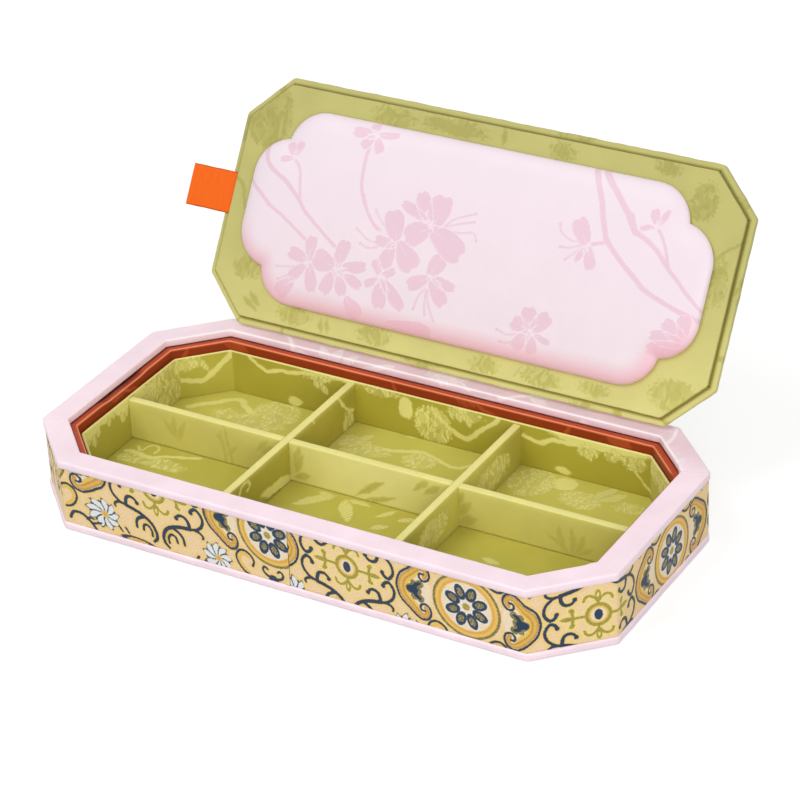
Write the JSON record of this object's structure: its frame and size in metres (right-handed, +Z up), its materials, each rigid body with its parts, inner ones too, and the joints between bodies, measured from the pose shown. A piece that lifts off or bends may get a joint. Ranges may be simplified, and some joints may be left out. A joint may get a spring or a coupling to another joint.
{
  "type": "lidded jewelry tray",
  "caption": "Low octagonal jewelry tray of cloth-covered board with a brocade band, divided compartments and a padded lid with a ribbon pull.",
  "frame": {"origin": "centre of the flat underside of the base board", "axes": "+X along the length with the ribbon at the -X end, +Y from the front to the back where the open lid stands, +Z up"},
  "size_m": [0.2366, 0.1621, 0.1086],
  "materials": {
    "pink_damask": "pale pink damask glued over board, tonal leaf pattern, soft sheen",
    "brocade": "woven brocade, beige ground with gold, olive, navy and white figures",
    "greyboard": "bare grey paperboard",
    "rust_satin": "rust orange satin glued over board",
    "olive_damask": "olive green damask glued over board, tonal branch and blossom pattern",
    "pink_satin": "pale pink satin jacquard, smooth sheen with tonal blossoms",
    "orange_satin": "bright orange satin ribbon"
  },
  "bodies": {
    "tray": {"base_board": "pink_damask", "wall_right": "greyboard", "wall_back_right": "greyboard", "wall_back": "greyboard", "wall_back_left": "greyboard", "wall_left": "greyboard", "wall_front_left": "greyboard", "wall_front": "greyboard", "wall_front_right": "greyboard", "brocade_band": "brocade", "rim_frame": "pink_damask", "collar_right": "rust_satin", "collar_back_right": "rust_satin", "collar_back": "rust_satin", "collar_back_left": "rust_satin", "collar_left": "rust_satin", "collar_front_left": "rust_satin", "collar_front": "rust_satin", "collar_front_right": "rust_satin", "tray_floor": "olive_damask", "tray_wall_right": "olive_damask", "tray_wall_back_right": "olive_damask", "tray_wall_back": "olive_damask", "tray_wall_back_left": "olive_damask", "tray_wall_left": "olive_damask", "tray_wall_front_left": "olive_damask", "tray_wall_front": "olive_damask", "tray_wall_front_right": "olive_damask", "long_divider": "olive_damask", "cross_divider_left": "olive_damask", "cross_divider_right": "olive_damask"},
    "lid": {"lid_board": "olive_damask", "lid_panel": "olive_damask", "cushion_card": "greyboard", "lid_cushion": "pink_satin", "ribbon_root": "orange_satin"},
    "ribbon": {"ribbon_tab": "orange_satin"}
  },
  "joints": [
    {"name": "lid_swing", "type": "hinge", "parent": "tray", "child": "lid", "pos_m": [0, 0.05076, 0.02632], "axis": [1, 0, 0], "range_deg": [0, 122.5]},
    {"name": "ribbon_fold", "type": "hinge", "parent": "lid", "child": "ribbon", "pos_m": [-0.105, 0.0774, 0.06952], "axis": [0, -0.5373, -0.8434], "range_deg": [0, 90]}
  ],
  "couplings": [
    {"joint": "ribbon_fold", "follows": "lid_swing", "ratio": 0.7346}
  ]
}
